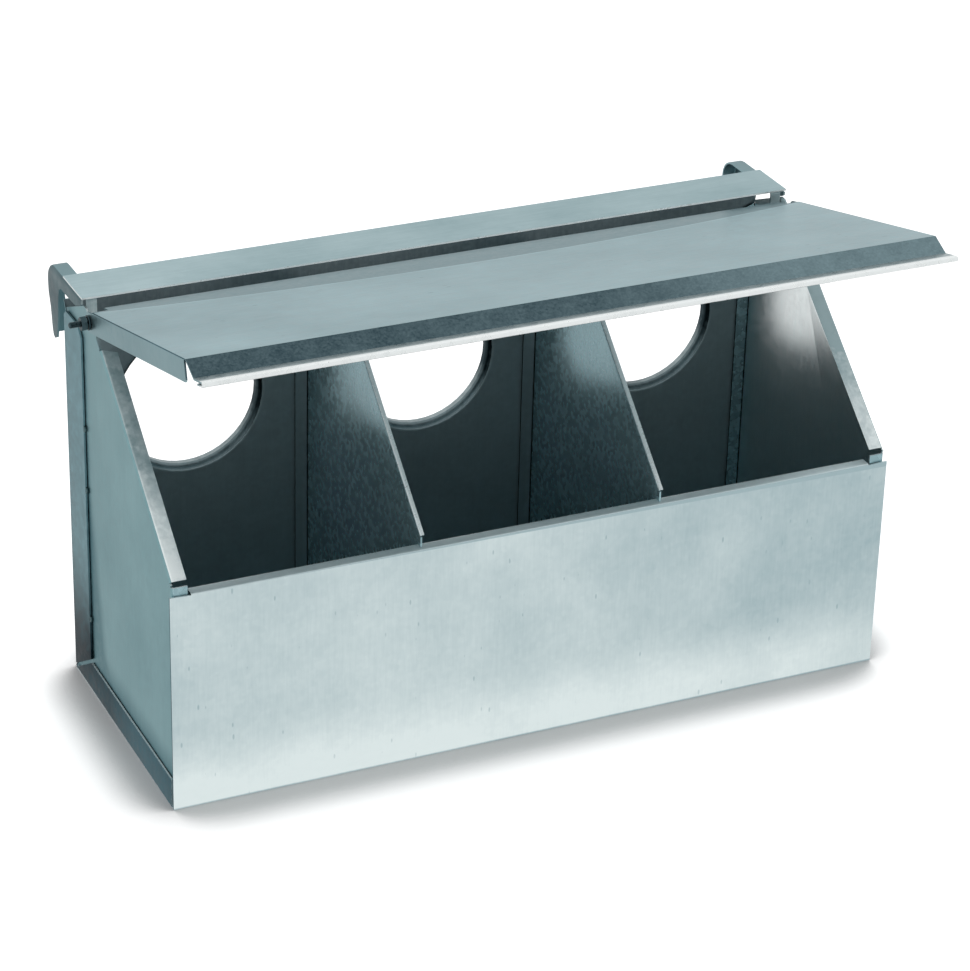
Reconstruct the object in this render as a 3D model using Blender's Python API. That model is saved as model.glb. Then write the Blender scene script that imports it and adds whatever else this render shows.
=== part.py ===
"""Outside bird feeder of folded galvanised sheet: three feeding holes, two dividers, a lid and two cage hooks.

World frame: origin at the middle of the floor's underside, +X along the trough to the right, +Y towards the cage,
+Z up. Lengths below are in millimetres and become metres in point().
"""
import math

import bmesh
import bpy
from mathutils import Vector

MM = 0.001

# Driving dimensions of the box
LENGTH = 300.0
DEPTH = 117.0
SHEET = 0.7
GAP = 0.3
FOLD = 1.0
FRONT_HEIGHT = 91.3
BACK_HEIGHT = 161.0
TRAY_WALL = 12.5
BAND = 21.1
BAND_TOP = 157.5
FLANGE = 6.0
BACK_FLANGE = 5.6
HEM_DEPTH = 4.3
HEM_DROP = 3.0
REAR_WALL = 8.0
SIDE_SLOPE = math.radians(39.5)
SIDE_NOSE = 95.4
SIDE_TOP = 158.0
DIVIDER_SLOPE = math.radians(41.0)
DIVIDER_NOSE = 95.8
DIVIDER_TOP = 150.0
DIVIDER_STRIP = 1.3

# How far flanges stop short of the corners, how much their ends slant, and how folds are rounded
RELIEF = 0.6
CORNER = 1.2
SLANT = 2.0
FOLD_STEPS = 3
LEAST_FOLD = math.radians(20)
WELD = 1e-6

# Feeding holes in the back panel
HOLE_PITCH = 100.0
HOLE_RADIUS = 29.1
HOLE_HEIGHT = 110.2
COLLAR_BEND = 2.5
COLLAR_DEPTH = 4.5
COLLAR_STEPS = 4
HOLE_STEPS = 48
PANEL_MARGIN = 12.0

# Lid, in its own frame: the hinge axis is the origin and the sheet lies level
PIVOT = (26.0, 165.0)
LID_OPEN = math.radians(14.1)
LID_RISE = 4.0
LID_REACH = 109.6
LID_FLANGE = 8.5
LID_BACK = 4.0
LID_EYE = 4.15
TONGUE_REACH = 1.5
TONGUE_SIDE = 6.35
LIP_OUT = 6.8
LIP_DROP = 5.6
LEDGE = 8.8
LEDGE_TURN = 1.3
LEDGE_RETURN = 5.5
LEDGE_BEND = 0.6

# The ear of each end wall, from its eye over a dip for the lid's rear edge to its shoulder, as (Y, Z)
EYE_RADIUS = 3.5
EAR_TOP = ((31.0, 166.0), (33.0, 167.5), (35.5, 167.7))

# Top rail, cage hooks and pivot bolts
RAIL_TOP = 171.2
RAIL_FRONT = 34.6
RAIL_BACK = 57.1
RAIL_SHORT = 0.1
HOOK_FRONT = 35.3
HOOK_BACK = 77.0
HOOK_CROWN = 7.6
HOOK_FLANGE = 6.0
HOOK_FOLD = 0.8
FLAP_OUT = 1.65
FLAP_DROP = 6.0

# The edge of a hook's plate as (Y, Z): down its back to its flange's end, then up the slot to the front
HOOK_REAR = ((76.6, 157.0), (74.4, 151.0), (73.0, 143.0), (72.2, 141.2))
HOOK_SLOT = ((69.6, 140.0), (66.9, 141.4), (65.8, 145.8), (64.6, 151.0), (64.0, 158.0), (62.8, 163.0),
             (60.6, 164.5), (52.1, 164.6), (42.6, 165.0), (36.6, 167.4), (35.3, 168.4))

# M2.5 pivot bolts with their nuts and washers
BOLT_RADIUS = 1.25
BOLT_END = 158.0
BOLT_TIP = 0.5
BOLT_STEPS = 24
HEAD_RADIUS = 2.5
HEAD_HEIGHT = 1.7
WASHER_RADIUS = 2.9
WASHER = 0.6
NUT_FLATS = 5.0
NUT_HEIGHT = 2.4
NUT_STEPS = 24

# Middle planes of the sheets, worked out from the box
HALF = SHEET / 2
STEP = SHEET + GAP
BAND_X = LENGTH / 2 - HALF
SIDE_X = BAND_X - STEP
HOLE = BOLT_RADIUS + GAP
FRONT_Y = -DEPTH / 2 + HALF
BACK_Y = DEPTH / 2 - HALF
INNER_FRONT_Y = FRONT_Y + STEP
INNER_BACK_Y = BACK_Y - STEP
FLOOR_Z = HALF
INNER_FLOOR_Z = SHEET + GAP
RAIL_Z = RAIL_TOP - HALF
HOOK_TOP_Z = RAIL_Z - STEP


def point(x, y, z):
    """A place in millimetres as a vector in metres."""
    return Vector((x * MM, y * MM, z * MM))


def galvanised(name, colour, roughness):
    """Zinc-coated steel: a bluish grey metal."""
    material = bpy.data.materials.new(name)
    material.use_nodes = True
    shader = material.node_tree.nodes["Principled BSDF"]
    shader.inputs["Base Color"].default_value = (*colour, 1.0)
    shader.inputs["Metallic"].default_value = 1.0
    shader.inputs["Roughness"].default_value = roughness
    return material


def add_object(name, bm, colour=(0.56, 0.63, 0.65), roughness=0.3):
    """Puts a finished bmesh into the scene as one named object with its own material."""
    mesh = bpy.data.meshes.new(name)
    bm.to_mesh(mesh)
    bm.free()
    mesh.shade_smooth()
    mesh.set_sharp_from_angle(angle=math.radians(35))
    obj = bpy.data.objects.new(name, mesh)
    bpy.context.collection.objects.link(obj)
    mesh.materials.append(galvanised(name + "_zinc", colour, roughness))
    return obj


def split_edge(face, a, b, start, stop):
    """Adds two corners on edge a-b of a face, at distances from its ends, and gives them back."""
    run = (b - a).normalized()
    first = a + run * start * MM
    second = b - run * stop * MM
    spot = face.index(a)
    new = [corner for corner, gap in ((first, start), (second, stop)) if gap > 0]
    face[spot + 1:spot + 1] = new
    return first, second


def flange(faces, face, a, b, out, ends=(CORNER, CORNER), taper=(0.0, 0.0)):
    """Folds a flange up from edge a-b of a face. It reaches out by a vector; ends and taper are in millimetres."""
    first, second = split_edge(face, a, b, *ends)
    run = (second - first).normalized() * MM
    new = [second, first, first + out + run * taper[0], second + out - run * taper[1]]
    faces.append(new)
    return new


def round_folds(bm, folds, radius, steps):
    """Bevels the chosen folds of a mid-surface."""
    bmesh.ops.bevel(bm, geom=folds, offset=radius * MM, offset_type="OFFSET", segments=steps, profile=0.5,
                    affect="EDGES", clamp_overlap=True)


def folded(bm, is_fold=None, radius=FOLD):
    """Joins the flat faces of a mid-surface and rounds each fold between them."""
    bmesh.ops.remove_doubles(bm, verts=bm.verts, dist=WELD)
    bmesh.ops.recalc_face_normals(bm, faces=bm.faces)
    folds = []
    for edge in bm.edges:
        if len(edge.link_faces) != 2 or edge.calc_face_angle() < LEAST_FOLD:
            continue
        if is_fold is None or is_fold(edge):
            folds.append(edge)
    round_folds(bm, folds, radius, FOLD_STEPS)


def thicken(obj):
    """Gives a mid-surface the thickness of the sheet."""
    solid = obj.modifiers.new("sheet", "SOLIDIFY")
    solid.thickness = SHEET * MM
    solid.offset = 0.0
    solid.use_even_offset = True
    return obj


def sheet_piece(name, faces, colour=(0.56, 0.63, 0.65), roughness=0.3, radius=FOLD):
    """One folded sheet from its flat faces, each a list of corners."""
    bm = bmesh.new()
    for corners in faces:
        bm.faces.new([bm.verts.new(corner) for corner in corners])
    folded(bm, radius=radius)
    return thicken(add_object(name, bm, colour, roughness))


def arc(centre, radius, start, stop, steps):
    """Points on an arc in a plane, with its angles in degrees."""
    turn = [math.radians(start + (stop - start) * i / steps) for i in range(steps + 1)]
    return [(centre[0] + radius * math.cos(a), centre[1] + radius * math.sin(a)) for a in turn]


def upright(x, outline):
    """Corners of a plate that stands across the trough, from its side view."""
    return [point(x, y, z) for y, z in outline]


def drill(obj, spot):
    """Cuts a round pivot hole along X through an object."""
    bm = bmesh.new()
    bmesh.ops.create_cone(bm, cap_ends=True, segments=BOLT_STEPS, radius1=HOLE * MM, radius2=HOLE * MM,
                          depth=FLANGE * MM)
    mesh = bpy.data.meshes.new(obj.name + "_drill")
    bm.to_mesh(mesh)
    bm.free()
    cutter = bpy.data.objects.new(obj.name + "_drill", mesh)
    bpy.context.collection.objects.link(cutter)
    cutter.rotation_euler = (0.0, math.pi / 2, 0.0)
    cutter.location = point(*spot)
    cutter.hide_render = True
    cutter.display_type = "WIRE"
    cut = obj.modifiers.new("pivot hole", "BOOLEAN")
    cut.operation = "DIFFERENCE"
    cut.object = cutter
    return cutter


def make_tray():
    """Floor, front panel with its hem, two side walls and a rear wall, folded from one sheet."""
    nose = BAND_X + HALF
    start = FRONT_Y + CORNER
    floor = [point(*c, FLOOR_Z) for c in (
        (-nose, FRONT_Y), (nose, FRONT_Y), (BAND_X, start), (BAND_X, INNER_BACK_Y),
        (-BAND_X, INNER_BACK_Y), (-BAND_X, start))]
    faces = [floor]
    front_left, front_right, right_front, right_back, left_back, left_front = list(floor)
    panel_rise = point(0, 0, FRONT_HEIGHT - HALF - FLOOR_Z)
    front = flange(faces, floor, front_left, front_right, panel_rise, ends=(0, 0))
    hem_ends = LENGTH / 2 - SIDE_X + FLANGE + 2 * GAP + HALF
    hem = flange(faces, front, front[2], front[3], point(0, HEM_DEPTH, 0), ends=(hem_ends, hem_ends))
    flange(faces, hem, hem[2], hem[3], point(0, 0, -HEM_DROP), ends=(0, 0))
    rise = point(0, 0, TRAY_WALL - FLOOR_Z)
    mitre = BAND - CORNER - GAP
    flange(faces, floor, right_front, right_back, rise, ends=(RELIEF, RELIEF), taper=(0, mitre))
    flange(faces, floor, left_back, left_front, rise, ends=(RELIEF, RELIEF), taper=(mitre, 0))
    flange(faces, floor, right_back, left_back, point(0, 0, REAR_WALL), ends=(PANEL_MARGIN, PANEL_MARGIN),
           taper=(SLANT, SLANT))
    return sheet_piece("tray", faces)


def hole_rings(bm, x):
    """The collar turned back round one feeding hole, as rings of a mid-surface. Gives its outer ring of edges."""
    inner = HOLE_RADIUS + HALF
    turn = [math.radians(90 * i / COLLAR_STEPS) for i in range(COLLAR_STEPS + 1)]
    profile = [(inner + COLLAR_BEND * (1 - math.sin(a)), BACK_Y + COLLAR_BEND * (1 - math.cos(a))) for a in turn]
    profile.append((inner, BACK_Y + HALF + COLLAR_DEPTH))
    rings = []
    for radius, y in profile:
        spots = arc((x, HOLE_HEIGHT), radius, 0, 360, HOLE_STEPS)[:-1]
        rings.append([bm.verts.new(point(across, y, up)) for across, up in spots])
    for ring, following in zip(rings, rings[1:]):
        for i in range(HOLE_STEPS):
            j = (i + 1) % HOLE_STEPS
            bm.faces.new((ring[i], ring[j], following[j], following[i]))
    return [bm.edges.get((rings[0][i], rings[0][(i + 1) % HOLE_STEPS])) for i in range(HOLE_STEPS)]


def make_back_panel():
    """The wall against the cage: three collared holes, and a band folded forward over each side."""
    bm = bmesh.new()
    edges = []
    for i in (-1, 0, 1):
        edges += hole_rings(bm, i * HOLE_PITCH)
    left, right = PANEL_MARGIN - BAND_X, BAND_X - PANEL_MARGIN
    low, high = GAP, BACK_HEIGHT
    frame = [bm.verts.new(point(x, BACK_Y, z)) for x, z in ((left, low), (right, low), (right, high), (left, high))]
    edges += [bm.edges.new((frame[i], frame[(i + 1) % 4])) for i in range(4)]
    bmesh.ops.triangle_fill(bm, edges=edges, use_beauty=True)
    mitre = TRAY_WALL + CORNER + GAP
    front_y = BACK_Y + HALF - BAND
    corner = 3.0
    front_corner = 4.0
    for side in (-1, 1):
        edge_x = side * BAND_X
        inner_x = side * (BAND_X - PANEL_MARGIN)
        foot = point(edge_x, BACK_Y, CORNER)
        head = point(edge_x, BACK_Y, BAND_TOP - corner)
        strip = [point(inner_x, BACK_Y, low), point(edge_x, BACK_Y, low), foot, head,
                 point(edge_x, BACK_Y, BACK_HEIGHT), point(inner_x, BACK_Y, high)]
        band = [foot, head, point(edge_x, BACK_Y - corner, BAND_TOP),
                point(edge_x, front_y + front_corner, BAND_TOP),
                point(edge_x, front_y, BAND_TOP - front_corner), point(edge_x, front_y, mitre)]
        for corners in (strip, band):
            bm.faces.new([bm.verts.new(corner) for corner in corners])

    def is_band_fold(edge):
        corners = [v.co for v in edge.verts]
        return all(abs(abs(c.x) - BAND_X * MM) < WELD and abs(c.y - BACK_Y * MM) < WELD for c in corners)

    folded(bm, is_band_fold)
    return thicken(add_object("back_panel", bm, (0.5, 0.57, 0.6), 0.25))


def make_side(name, side):
    """An end wall: its slope, nose and rear edge are folded inward. An ear at its top carries the pivot."""
    x = side * SIDE_X
    pivot_y = PIVOT[0]
    rise = math.tan(SIDE_SLOPE)
    slope_end = 8.0
    neck = 5.0
    outline = [(INNER_FRONT_Y, INNER_FLOOR_Z), (INNER_FRONT_Y, SIDE_NOSE)]
    outline += [(pivot_y - gap, SIDE_NOSE + (pivot_y - gap - INNER_FRONT_Y) * rise) for gap in (slope_end, neck)]
    outline += arc(PIVOT, EYE_RADIUS, 215, 10, 9)
    outline += EAR_TOP
    outline += [(INNER_BACK_Y, SIDE_TOP), (INNER_BACK_Y, INNER_FLOOR_Z)]
    plate = upright(x, outline)
    corners = list(plate)
    faces = [plate]
    inward = point(-side * FLANGE, 0, 0)
    flange(faces, plate, corners[0], corners[1], inward, ends=(RELIEF, CORNER), taper=(1, 0))
    flange(faces, plate, corners[1], corners[2], inward, ends=(CORNER, RELIEF), taper=(0, SLANT))
    rear = point(-side * BACK_FLANGE, 0, 0)
    rear_foot = REAR_WALL + CORNER + GAP
    flange(faces, plate, corners[-2], corners[-1], rear, ends=(CORNER, rear_foot), taper=(SLANT, SLANT))
    obj = sheet_piece(name, faces, (0.42, 0.52, 0.55), 0.3)
    drill(obj, (x, *PIVOT))
    return obj


def make_divider(name, x):
    """A wall between two compartments, with a hemmed slope and flanges on the back panel and the floor."""
    notch_back = FRONT_Y + HEM_DEPTH + HALF + 2 * GAP
    notch_low = FRONT_HEIGHT - HALF - HEM_DROP - 2 * GAP
    notch_high = FRONT_HEIGHT + GAP
    step_low = FLOOR_Z + REAR_WALL + CORNER
    step_high = step_low + STEP
    slope_back = INNER_FRONT_Y + (DIVIDER_TOP - DIVIDER_NOSE) / math.tan(DIVIDER_SLOPE)
    floor = INNER_FLOOR_Z + HALF
    outline = [(INNER_FRONT_Y, floor), (INNER_FRONT_Y, notch_low), (notch_back, notch_low),
               (notch_back, notch_high), (INNER_FRONT_Y, notch_high), (INNER_FRONT_Y, DIVIDER_NOSE),
               (slope_back, DIVIDER_TOP), (INNER_BACK_Y, DIVIDER_TOP), (INNER_BACK_Y, step_high),
               (INNER_BACK_Y - STEP, step_low), (INNER_BACK_Y - STEP, floor)]
    plate = upright(x, outline)
    corners = list(plate)
    faces = [plate]
    flange(faces, plate, corners[5], corners[6], point(DIVIDER_STRIP, 0, 0), ends=(RELIEF, CORNER))
    flange(faces, plate, corners[7], corners[8], point(-BACK_FLANGE, 0, 0), taper=(SLANT, SLANT))
    foot_ends = 3.0
    flange(faces, plate, corners[10], corners[0], point(-FLANGE, 0, 0), ends=(foot_ends, foot_ends),
           taper=(SLANT, SLANT))
    return sheet_piece(name, faces, (0.45, 0.52, 0.55), 0.22)


def make_lid(parent):
    """The lid: side flanges with round eyes at the hinge, and a lip that ends in a hemmed ledge."""
    x = BAND_X
    z = LID_RISE
    tongue_x = x - TONGUE_SIDE
    top = [point(*c, z) for c in (
        (-x, -LID_REACH), (x, -LID_REACH), (x, -LID_BACK), (tongue_x, -LID_BACK),
        (tongue_x, TONGUE_REACH), (-tongue_x, TONGUE_REACH), (-tongue_x, -LID_BACK), (-x, -LID_BACK))]
    faces = [top]
    corners = list(top)
    lip = flange(faces, top, corners[0], corners[1], point(0, -LIP_OUT, -LIP_DROP), ends=(0, 0))
    ledge = flange(faces, lip, lip[2], lip[3], point(0, -LEDGE, 0), ends=(0, 0))
    turn = flange(faces, ledge, ledge[2], ledge[3], point(0, 0, -LEDGE_TURN), ends=(0, 0))
    flange(faces, turn, turn[2], turn[3], point(0, LEDGE_RETURN, 0), ends=(0, 0))
    low = z + HALF - LID_FLANGE
    eye = arc((0, 0), LID_EYE, 70, -80, 8)
    front_gap = 0.9
    nose = (0.7, 1.0)
    for side in (-1, 1):
        front = point(side * x, front_gap - LID_REACH, z)
        rear = point(side * x, -LID_BACK - RELIEF, z)
        a, b = (corners[1], corners[2]) if side > 0 else (corners[7], corners[0])
        ends = (front_gap, RELIEF) if side > 0 else (RELIEF, front_gap)
        split_edge(top, a, b, *ends)
        profile = [(front_gap + nose[0] - LID_REACH, low), (front_gap - LID_REACH, low + nose[1])]
        wall = [point(side * x, *c) for c in profile] + [front, rear]
        wall += [point(side * x, *c) for c in eye]
        faces.append(wall)
    bm = bmesh.new()
    for corner_list in faces:
        bm.faces.new([bm.verts.new(corner) for corner in corner_list])

    def is_hem(edge):
        reach = -(LID_REACH + LIP_OUT + LEDGE) * MM
        return all(abs(v.co.y - reach) < WELD for v in edge.verts)

    folded(bm, lambda edge: not is_hem(edge))
    hem_folds = [edge for edge in bm.edges if is_hem(edge) and len(edge.link_faces) == 2]
    round_folds(bm, hem_folds, LEDGE_BEND, 2)
    lid = thicken(add_object("lid", bm, (0.52, 0.6, 0.63), 0.3))
    lid.parent = parent
    for side in (-1, 1):
        drill(lid, (side * x, 0, 0)).parent = parent
    return lid


def make_rail():
    """The flat rail over the slit behind the lid."""
    reach = BAND_X + HALF - RAIL_SHORT
    corners = [point(*c, RAIL_Z) for c in (
        (-reach, RAIL_FRONT), (reach, RAIL_FRONT), (reach, RAIL_BACK), (-reach, RAIL_BACK))]
    return sheet_piece("top_rail", [corners], (0.56, 0.64, 0.66), 0.3)


def make_hook_bracket(name, side):
    """A plate under the rail's end that hooks over the cage wire, with its top and back folded inward."""
    x = side * BAND_X
    crown_y = HOOK_BACK - HOOK_CROWN
    crown = arc((crown_y, HOOK_TOP_Z - HOOK_CROWN), HOOK_CROWN, 90, 0, 5)
    outline = [(HOOK_FRONT, HOOK_TOP_Z)] + crown + list(HOOK_REAR) + list(HOOK_SLOT)
    plate = upright(x, outline)
    corners = list(plate)
    faces = [plate]
    inward = point(-side * HOOK_FLANGE, 0, 0)
    strip = corners[1:1 + len(crown) + len(HOOK_REAR)]
    for a, b in zip(strip, strip[1:]):
        faces.append([a, b, b + inward, a + inward])
    front = split_edge(plate, corners[0], corners[1], HOOK_FOLD, 0)[0]
    shoulder = front + point(-side * FLAP_OUT, 0, 0)
    faces.append([front, strip[0], strip[0] + inward, front + inward, shoulder])
    drop = point(0, 0, -FLAP_DROP)
    faces.append([shoulder, front + inward, front + inward + drop, shoulder + drop])
    return sheet_piece(name, faces, (0.4, 0.48, 0.5), 0.3, radius=HOOK_FOLD)


def turned(name, profile, side):
    """A piece turned about the pivot axis from its profile of (distance out along X, radius)."""
    steps = BOLT_STEPS
    bm = bmesh.new()
    rings = []
    for out, radius in profile:
        rings.append([bm.verts.new(point(side * out, PIVOT[0] + y, PIVOT[1] + z))
                      for y, z in arc((0, 0), radius, 0, 360, steps)[:-1]])
    closed = profile[0] == profile[-1]
    if closed:
        rings[-1] = rings[0]
    for ring, following in zip(rings, rings[1:]):
        for i in range(steps):
            j = (i + 1) % steps
            bm.faces.new((ring[i], ring[j], following[j], following[i]))
    if not closed:
        bm.faces.new(rings[0])
        bm.faces.new(rings[-1])
    loose = [v for v in bm.verts if not v.link_faces]
    bmesh.ops.delete(bm, geom=loose, context="VERTS")
    bmesh.ops.recalc_face_normals(bm, faces=bm.faces)
    return add_object(name, bm, (0.4, 0.45, 0.47), 0.35)


def make_washer(name, side, start):
    """A flat washer that starts at a distance out along X."""
    end = start + WASHER
    turned(name, [(start, HOLE), (start, WASHER_RADIUS), (end, WASHER_RADIUS), (end, HOLE), (start, HOLE)], side)
    return end + GAP


def make_pivot(label, side):
    """One pivot: a bolt from inside, a washer under its head, and a washer and nut outside the lid."""
    inner = SIDE_X - HALF - GAP - WASHER
    head = inner - GAP
    chamfer = 0.5
    turned("pivot_bolt_" + label, [
        (head - HEAD_HEIGHT, HEAD_RADIUS - 2 * chamfer), (head - HEAD_HEIGHT + chamfer, HEAD_RADIUS - chamfer / 2),
        (head - chamfer, HEAD_RADIUS), (head, HEAD_RADIUS),
        (head, BOLT_RADIUS), (BOLT_END - BOLT_TIP, BOLT_RADIUS),
        (BOLT_END, BOLT_RADIUS - BOLT_TIP)], side)
    make_washer("inner_washer_" + label, side, inner)
    nut = make_washer("outer_washer_" + label, side, BAND_X + HALF + GAP)
    make_nut("pivot_nut_" + label, side, nut)


def make_nut(name, side, start):
    """A hexagon nut with a flat on top."""
    sixth = math.radians(60)
    end = start + NUT_HEIGHT
    bm = bmesh.new()
    rings = []
    for out, is_bore in ((start, True), (start, False), (end, False), (end, True)):
        ring = []
        for i in range(NUT_STEPS):
            a = math.radians(360 * i / NUT_STEPS)
            radius = HOLE if is_bore else NUT_FLATS / 2 / math.cos(a % sixth - sixth / 2)
            y = PIVOT[0] + radius * math.cos(a)
            z = PIVOT[1] + radius * math.sin(a)
            ring.append(bm.verts.new(point(side * out, y, z)))
        rings.append(ring)
    for ring, following in zip(rings, rings[1:] + rings[:1]):
        for i in range(NUT_STEPS):
            j = (i + 1) % NUT_STEPS
            bm.faces.new((ring[i], ring[j], following[j], following[i]))
    bmesh.ops.recalc_face_normals(bm, faces=bm.faces)
    return add_object(name, bm, (0.35, 0.4, 0.42), 0.4)


def build():
    for obj in list(bpy.data.objects):
        bpy.data.objects.remove(obj)
    make_tray()
    make_back_panel()
    for label, side in (("left", -1), ("right", 1)):
        make_side("side_" + label, side)
        make_divider("divider_" + label, side * HOLE_PITCH / 2)
        make_hook_bracket("hook_bracket_" + label, side)
        make_pivot(label, side)
    make_rail()
    hinge = bpy.data.objects.new("lid_hinge", None)
    bpy.context.collection.objects.link(hinge)
    hinge.location = point(0, *PIVOT)
    hinge.rotation_euler = (-LID_OPEN, 0.0, 0.0)
    make_lid(hinge)


build()
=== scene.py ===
# %% [markdown]
# A trough feeder for game birds, folded from galvanised steel sheet, hangs on the outside of a cage.
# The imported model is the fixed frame: every sheet is already in place there at its real size.
# This lesson dresses it. Each sheet is copied so that its folds can be shaded smoothly and its inner and
# outer faces can have their own zinc. The bolts, nuts and washers of the pivots and the weld spots are
# modelled anew.

# %% The frame
import math

import bpy
from mathutils import Euler, Matrix, Vector


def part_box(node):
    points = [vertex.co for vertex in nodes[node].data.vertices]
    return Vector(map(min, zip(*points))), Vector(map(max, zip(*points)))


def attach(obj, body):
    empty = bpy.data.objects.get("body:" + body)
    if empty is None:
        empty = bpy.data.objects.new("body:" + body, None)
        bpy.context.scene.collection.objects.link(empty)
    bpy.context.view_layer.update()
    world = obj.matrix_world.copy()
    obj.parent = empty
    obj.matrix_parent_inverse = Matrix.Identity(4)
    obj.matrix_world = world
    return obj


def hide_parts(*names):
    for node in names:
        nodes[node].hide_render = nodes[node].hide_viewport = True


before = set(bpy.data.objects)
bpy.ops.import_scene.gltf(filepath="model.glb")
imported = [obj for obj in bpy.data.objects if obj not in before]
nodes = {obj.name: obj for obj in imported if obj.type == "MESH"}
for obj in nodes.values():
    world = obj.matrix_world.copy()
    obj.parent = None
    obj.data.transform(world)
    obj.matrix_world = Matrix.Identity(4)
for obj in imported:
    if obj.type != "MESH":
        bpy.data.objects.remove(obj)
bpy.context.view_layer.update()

# %% [markdown]
# The camera comes first, because it decides how large each detail is in the picture.
# Its place was worked out from the straight edges of the photograph: the trough's corners, the rail and
# the lid. It stands 25 degrees to the left of the front, looks down by 27 degrees and is tilted by a degree
# and a half. The photograph is 970 by 971 pixels, so the long side gives the lens: the focal length in
# pixels, times the sensor's size, over 971.

# %% Camera
PHOTO_SIDE = 971
FOCAL_PIXELS = 3441.8
SENSOR_MM = 36.0
CAMERA_PLACE = (-0.5084, -1.0937, 0.7011)
FAR_CLIP = 50.0


def add_camera(place, heading, down, roll):
    """A camera at a place in metres, turned by angles in degrees."""
    data = bpy.data.cameras.new("photo_camera")
    data.sensor_fit = "VERTICAL"
    data.sensor_width = SENSOR_MM
    data.sensor_height = SENSOR_MM
    data.lens = SENSOR_MM * FOCAL_PIXELS / PHOTO_SIDE
    data.clip_end = FAR_CLIP
    camera = bpy.data.objects.new("photo_camera", data)
    bpy.context.scene.collection.objects.link(camera)
    aim = Euler((math.radians(90.0 - down), 0.0, math.radians(heading)))
    turn = aim.to_matrix() @ Matrix.Rotation(math.radians(roll), 3, "Z")
    camera.matrix_world = Matrix.Translation(place) @ turn.to_4x4()
    return camera


bpy.context.scene.camera = add_camera(CAMERA_PLACE, heading=-25.03, down=27.22, roll=1.55)
print("lens:", round(bpy.context.scene.camera.data.lens, 2), "mm")

# %% [markdown]
# A material is a small tree of nodes. One helper adds a node, sets its settings and fills or links its
# inputs, so that each finish below reads like a recipe. Colours are written as the hex values seen on
# screen, and one function turns them to the linear values that Blender works in.

# %% Helpers for materials
MM_PER_METRE = 1000.0
X = (1.0, 0.0, 0.0)
Y = (0.0, 1.0, 0.0)
Z = (0.0, 0.0, 1.0)


def linear(hex_colour):
    """An sRGB hex colour as linear red, green, blue and alpha."""
    values = [int(hex_colour[i:i + 2], 16) / 255 for i in (1, 3, 5)]
    return (*[v / 12.92 if v <= 0.04045 else ((v + 0.055) / 1.055) ** 2.4 for v in values], 1.0)


def add_node(tree, kind, inputs=None, **settings):
    """A node with its settings. An input's value is a number, a colour or another node's socket."""
    made = tree.nodes.new(kind)
    for name, value in settings.items():
        setattr(made, name, value)
    for socket, value in (inputs or {}).items():
        if isinstance(value, bpy.types.NodeSocket):
            tree.links.new(value, made.inputs[socket])
        else:
            made.inputs[socket].default_value = value
    return made


def per_metre(millimetres):
    """The scale of a pattern whose features are this large."""
    return MM_PER_METRE / millimetres


# %% [markdown]
# Hot-dip galvanised sheet is steel with a skin of zinc. The zinc froze in flat crystals, the spangle, a
# millimetre or two across, so neighbouring patches differ a little in tone and in gloss. Broad clouds come
# from handling and oxide, fine streaks from the rolls and the press brake, and a few dark specks from dross
# in the bath. Each pattern pushes one number, the level, up or down, and the level picks a tone between a
# dark and a light zinc.

# %% Spangle, clouds and streaks
RAGGED_MM = 2.5
RAGGED_REACH = 0.0022
STREAK_MM = 1.1
EVEN = 0.5


def ragged_place(tree, place):
    """The place, pushed to and fro by a noise, so that the crystals get ragged outlines."""
    noise = add_node(tree, "ShaderNodeTexNoise",
                     {"Vector": place, "Scale": per_metre(RAGGED_MM), "Detail": 2.0})
    push = add_node(tree, "ShaderNodeVectorMath", {0: noise.outputs["Color"], 1: (EVEN, EVEN, EVEN)},
                    operation="SUBTRACT")
    amount = add_node(tree, "ShaderNodeVectorMath", {0: push.outputs[0], "Scale": RAGGED_REACH},
                      operation="SCALE")
    return add_node(tree, "ShaderNodeVectorMath", {0: place, 1: amount.outputs[0]},
                    operation="ADD").outputs[0]


def crystal_tone(tree, place, spangle_mm):
    """One tone for each crystal of the spangle."""
    crystals = add_node(tree, "ShaderNodeTexVoronoi", {"Vector": place, "Scale": per_metre(spangle_mm)},
                        feature="SMOOTH_F1")
    return add_node(tree, "ShaderNodeSeparateColor", {"Color": crystals.outputs["Color"]}).outputs[0]


def cloud_tone(tree, place, cloud_mm):
    """Broad soft clouds."""
    return add_node(tree, "ShaderNodeTexNoise", {"Vector": place, "Scale": per_metre(cloud_mm),
                                                 "Detail": 4.0, "Roughness": 0.55}).outputs[0]


def streak_tone(tree, place, grain):
    """Fine streaks, drawn out along the grain."""
    stretched = add_node(tree, "ShaderNodeMapping", {"Vector": place, "Scale": grain})
    return add_node(tree, "ShaderNodeTexNoise",
                    {"Vector": stretched.outputs[0], "Scale": per_metre(STREAK_MM), "Detail": 3.0,
                     "Roughness": 0.7}).outputs[0]


def add_level(tree, level, tone, amount, middle=EVEN):
    """Moves the level by how far a pattern's tone is from its middle, times an amount."""
    base = add_node(tree, "ShaderNodeMath", {0: level, 1: amount * middle}, operation="SUBTRACT")
    return add_node(tree, "ShaderNodeMath", {0: tone, 1: amount, 2: base.outputs[0]},
                    operation="MULTIPLY_ADD").outputs[0]


# %% [markdown]
# A drift moves the level along a direction: the sheet is brighter or duller towards one edge. Its coordinate
# is in millimetres: the place times a direction, plus a bow times the square of the place along X, where
# the border of the change is bowed. The specks of dross are small and sparse: each lies in a cell of a grid
# of points, and luck gives some cells none.

# %% Drifts and specks
SPECK_CELL_MM = 3.4
SPECK_SIZE = 0.16
SPECK_LUCK = 0.35
SPECK_RIM = 0.4
SPECK_STRETCH = 0.35


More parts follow.
